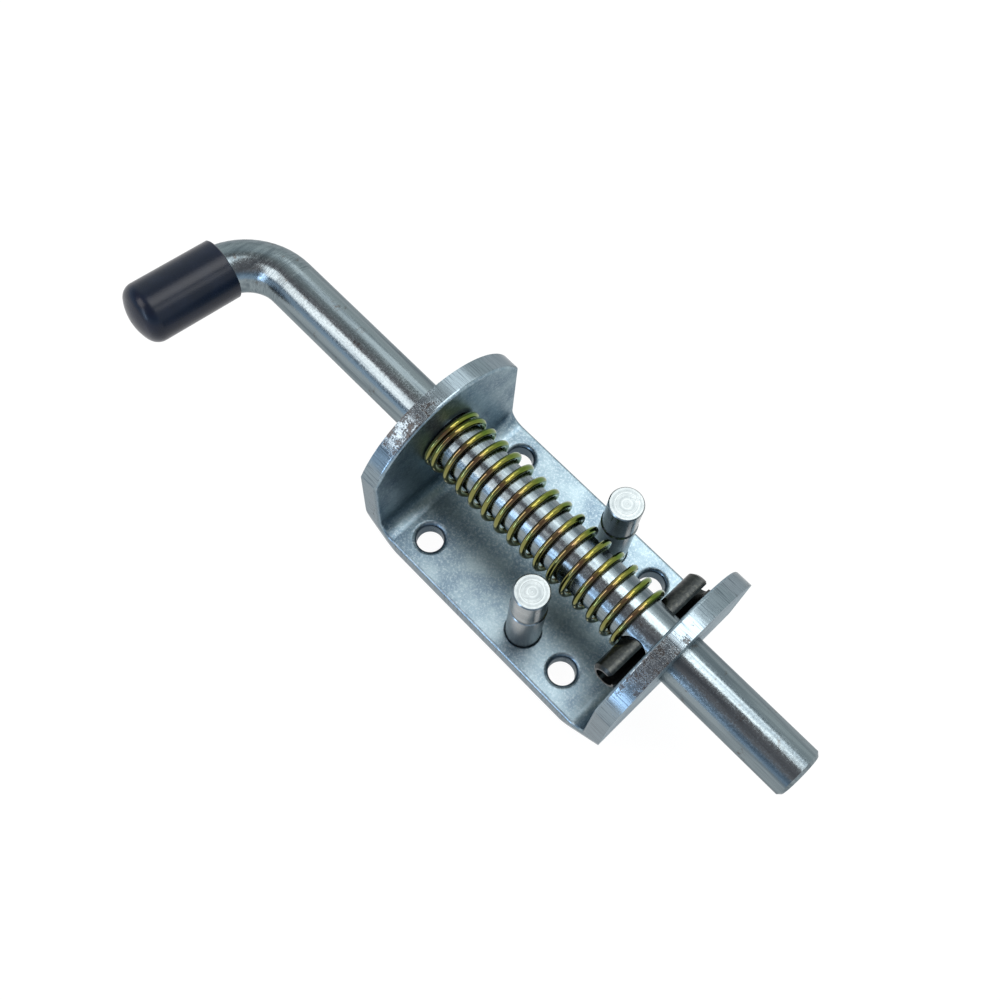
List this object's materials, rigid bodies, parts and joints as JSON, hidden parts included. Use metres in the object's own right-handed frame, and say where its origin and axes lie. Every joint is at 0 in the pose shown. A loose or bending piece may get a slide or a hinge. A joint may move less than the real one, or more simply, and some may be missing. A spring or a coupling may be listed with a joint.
{
  "type": "spring bolt",
  "caption": "Spring-loaded latch bolt: a bent-grip steel bolt slides in a bent sheet bracket and is held out by a coil spring and a cross pin.",
  "frame": {"origin": "on the mounting face, under the bolt's axis, halfway along the four screw holes", "axes": "+X along the bolt towards its tip, +Y to the side away from the grip, +Z away from the mounting face"},
  "size_m": [0.2339, 0.0727, 0.0561],
  "materials": {
    "bracket_zinc": "satin",
    "stud_zinc": "satin",
    "bolt_zinc": "gloss",
    "pin_steel": "satin",
    "cap_plastic": "satin",
    "spring_steel": "gloss"
  },
  "bodies": {
    "bracket": {"bracket": "bracket_zinc", "near_stud": "stud_zinc", "far_stud": "stud_zinc"},
    "spring": {"spring": "spring_steel"},
    "bolt": {"bolt_rod": "bolt_zinc", "roll_pin": "pin_steel", "grip_cap": "cap_plastic"}
  },
  "joints": [
    {"name": "bolt_slide", "type": "slide", "parent": "bracket", "child": "spring", "axis": [-1, 0, 0], "range_m": [0, 0.0191], "stiffness_N_per_m": 1650, "springref_m": -0.019, "deforming": ["spring"]},
    {"name": "bolt_turn", "type": "hinge", "parent": "spring", "child": "bolt", "pos_m": [0, 0, 0.0337], "axis": [-1, 0, 0], "range_deg": [-44, 215]}
  ]
}
